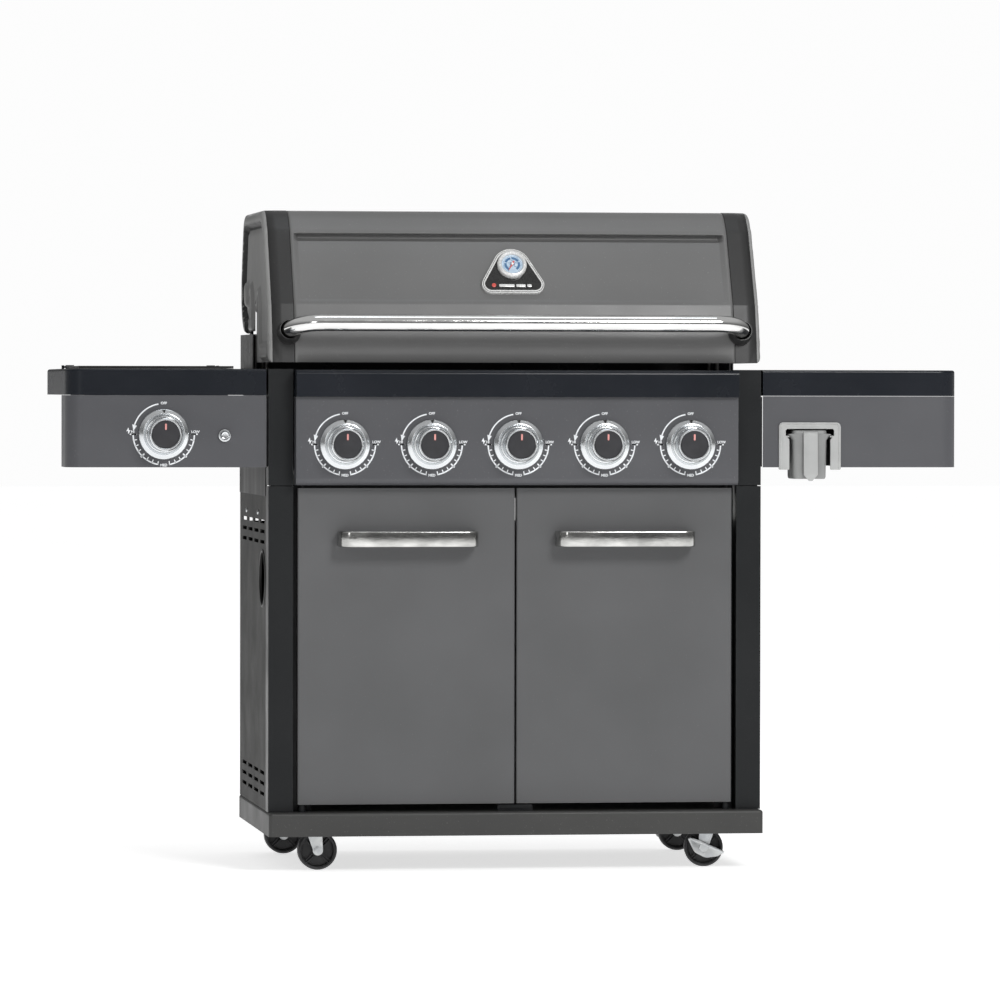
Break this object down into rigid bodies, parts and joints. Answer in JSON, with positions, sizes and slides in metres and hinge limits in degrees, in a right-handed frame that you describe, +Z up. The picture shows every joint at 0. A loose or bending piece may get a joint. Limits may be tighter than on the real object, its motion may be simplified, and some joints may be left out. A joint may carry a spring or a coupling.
{
  "type": "gas barbecue grill",
  "caption": "Free-standing gas barbecue on a wheeled cabinet, with a roll-top lid, row of knobs, side burner shelf and plain side shelf.",
  "frame": {"origin": "on the floor under the middle of the whole object's box", "axes": "+X to the right of a person facing the knobs, +Y to the back, +Z up"},
  "size_m": [1.454, 0.535, 1.067],
  "materials": {
    "black_enamel": "satin black powder coat",
    "grey_enamel": "satin warm grey enamel",
    "panel_grey": "satin cool grey enamel",
    "lid_end_paint": "satin dark grey and black enamel",
    "bright_chrome": "polished chrome",
    "knob_chrome": "satin chrome plating",
    "zinc": "bright zinc plate",
    "wheel_plastic": "moulded black",
    "black_plastic": "moulded black",
    "brass": "machined",
    "pipe_steel": "brushed",
    "cast_grate": "matt enamelled",
    "firebox_enamel": "heat-proof black",
    "galvanised": "galvanised",
    "burner_alloy": "cast",
    "badge": "black with bright rims",
    "gauge_steel": "polished",
    "needle_red": "painted",
    "cup_silver": "satin silver paint"
  },
  "bodies": {
    "cart": {"base_tray": "black_enamel", "lower_posts": "black_enamel", "upper_posts": "black_enamel", "side_panel_right": "grey_enamel", "side_panel_left": "grey_enamel", "back_panel": "black_enamel", "caster_plates": "zinc", "hinge_pins": "zinc", "control_panel": "panel_grey", "front_rail": "black_enamel", "gas_valves": "brass", "gas_manifold": "pipe_steel", "igniter_box": "black_plastic", "firebox": "firebox_enamel", "burner_tubes": "pipe_steel", "flame_tamers": "pipe_steel", "cooking_grates": "cast_grate", "warming_rack": "pipe_steel", "shelf_right": "black_enamel", "shelf_left": "black_enamel", "fascia_right": "panel_grey", "fascia_left": "panel_grey", "cup_frame": "cup_silver", "side_burner_bowl": "firebox_enamel", "side_burner_head": "burner_alloy", "side_burner_grate": "firebox_enamel", "panel_screws": "zinc"},
    "lid": {"lid_panel": "grey_enamel", "lid_end_left": "lid_end_paint", "lid_end_right": "lid_end_paint", "lid_handle": "bright_chrome", "handle_ferrules": "black_plastic", "gauge_plate": "badge", "gauge": "gauge_steel"},
    "needle": {"gauge_needle": "needle_red"},
    "left_door": {"door_left": "grey_enamel", "door_handle_left": "bright_chrome"},
    "right_door": {"door_right": "grey_enamel", "door_handle_right": "bright_chrome"},
    "knob_body_1": {"knob_1": "knob_chrome"},
    "knob_body_2": {"knob_2": "knob_chrome"},
    "knob_body_3": {"knob_3": "knob_chrome"},
    "knob_body_4": {"knob_4": "knob_chrome"},
    "knob_body_5": {"knob_5": "knob_chrome"},
    "side_knob_body": {"side_knob": "knob_chrome"},
    "igniter": {"igniter_button": "knob_chrome"},
    "side_burner_lid": {"side_lid": "firebox_enamel"},
    "grease_drawer": {"grease_tray": "galvanised", "grease_cup": "galvanised"},
    "hanging_cup": {"catch_cup": "cup_silver"},
    "caster_front_left": {"fork_front_left": "zinc"},
    "roller_front_left": {"wheel_front_left": "wheel_plastic"},
    "caster_front_right": {"fork_front_right": "zinc"},
    "roller_front_right": {"wheel_front_right": "wheel_plastic"},
    "lever_front_right": {"brake_front_right": "zinc"},
    "caster_rear_left": {"fork_rear_left": "zinc"},
    "roller_rear_left": {"wheel_rear_left": "wheel_plastic"},
    "caster_rear_right": {"fork_rear_right": "zinc"},
    "roller_rear_right": {"wheel_rear_right": "wheel_plastic"},
    "lever_rear_right": {"brake_rear_right": "zinc"}
  },
  "joints": [
    {"name": "lid_hinge", "type": "hinge", "parent": "cart", "child": "lid", "pos_m": [0, 0.1925, 0.934], "axis": [-1, 0, 0], "range_deg": [0, 85]},
    {"name": "gauge_turn", "type": "hinge", "parent": "lid", "child": "needle", "pos_m": [0, -0.14346, 0.97602], "axis": [0, 0.8826, -0.4702], "range_deg": [0, 290]},
    {"name": "left_door_hinge", "type": "hinge", "parent": "cart", "child": "left_door", "pos_m": [-0.346, -0.1875, 0.36], "axis": [0, 0, -1], "range_deg": [0, 110]},
    {"name": "right_door_hinge", "type": "hinge", "parent": "cart", "child": "right_door", "pos_m": [0.346, -0.1875, 0.36], "axis": [0, 0, 1], "range_deg": [0, 110]},
    {"name": "knob_1_turn", "type": "hinge", "parent": "cart", "child": "knob_body_1", "pos_m": [-0.281, -0.2255, 0.688], "axis": [0, -1, 0], "range_deg": [0, 270]},
    {"name": "knob_2_turn", "type": "hinge", "parent": "cart", "child": "knob_body_2", "pos_m": [-0.1405, -0.2255, 0.688], "axis": [0, -1, 0], "range_deg": [0, 270]},
    {"name": "knob_3_turn", "type": "hinge", "parent": "cart", "child": "knob_body_3", "pos_m": [0, -0.2255, 0.688], "axis": [0, -1, 0], "range_deg": [0, 270]},
    {"name": "knob_4_turn", "type": "hinge", "parent": "cart", "child": "knob_body_4", "pos_m": [0.1405, -0.2255, 0.688], "axis": [0, -1, 0], "range_deg": [0, 270]},
    {"name": "knob_5_turn", "type": "hinge", "parent": "cart", "child": "knob_body_5", "pos_m": [0.281, -0.2255, 0.688], "axis": [0, -1, 0], "range_deg": [0, 270]},
    {"name": "side_knob_turn", "type": "hinge", "parent": "cart", "child": "side_knob_body", "pos_m": [-0.57, -0.1975, 0.704], "axis": [0, -1, 0], "range_deg": [0, 270]},
    {"name": "igniter_push", "type": "slide", "parent": "cart", "child": "igniter", "axis": [0, 1, 0], "range_m": [0, 0.004], "stiffness_N_per_m": 400},
    {"name": "side_lid_hinge", "type": "hinge", "parent": "cart", "child": "side_burner_lid", "pos_m": [-0.575, 0.2005, 0.8128], "axis": [-1, 0, 0], "range_deg": [0, 95]},
    {"name": "grease_tray_slide", "type": "slide", "parent": "cart", "child": "grease_drawer", "axis": [0, 1, 0], "range_m": [0, 0.3]},
    {"name": "cup_slide", "type": "slide", "parent": "cart", "child": "hanging_cup", "axis": [0, -1, 0], "range_m": [0, 0.055]},
    {"name": "swivel_front_left", "type": "hinge", "parent": "cart", "child": "caster_front_left", "pos_m": [-0.335, -0.1475, 0.07], "axis": [0, 0, 1], "continuous": true},
    {"name": "roll_front_left", "type": "hinge", "parent": "caster_front_left", "child": "roller_front_left", "pos_m": [-0.317, -0.1475, 0.03175], "axis": [0, 1, 0], "continuous": true},
    {"name": "swivel_front_right", "type": "hinge", "parent": "cart", "child": "caster_front_right", "pos_m": [0.335, -0.1475, 0.07], "axis": [0, 0, 1], "continuous": true},
    {"name": "roll_front_right", "type": "hinge", "parent": "caster_front_right", "child": "roller_front_right", "pos_m": [0.31718, -0.14499, 0.03175], "axis": [-0.1392, -0.9903, 0], "continuous": true},
    {"name": "brake_front_right_press", "type": "hinge", "parent": "caster_front_right", "child": "lever_front_right", "pos_m": [0.31718, -0.14499, 0.03175], "axis": [0.1392, 0.9903, 0], "range_deg": [0, 20]},
    {"name": "swivel_rear_left", "type": "hinge", "parent": "cart", "child": "caster_rear_left", "pos_m": [-0.352, 0.2175, 0.07], "axis": [0, 0, 1], "continuous": true},
    {"name": "roll_rear_left", "type": "hinge", "parent": "caster_rear_left", "child": "roller_rear_left", "pos_m": [-0.334, 0.2175, 0.03175], "axis": [0, 1, 0], "continuous": true},
    {"name": "swivel_rear_right", "type": "hinge", "parent": "cart", "child": "caster_rear_right", "pos_m": [0.352, 0.2175, 0.07], "axis": [0, 0, 1], "continuous": true},
    {"name": "roll_rear_right", "type": "hinge", "parent": "caster_rear_right", "child": "roller_rear_right", "pos_m": [0.33404, 0.21876, 0.03175], "axis": [-0.0698, -0.9976, 0], "continuous": true},
    {"name": "brake_rear_right_press", "type": "hinge", "parent": "caster_rear_right", "child": "lever_rear_right", "pos_m": [0.33404, 0.21876, 0.03175], "axis": [-0.0698, -0.9976, 0], "range_deg": [0, 20]}
  ]
}
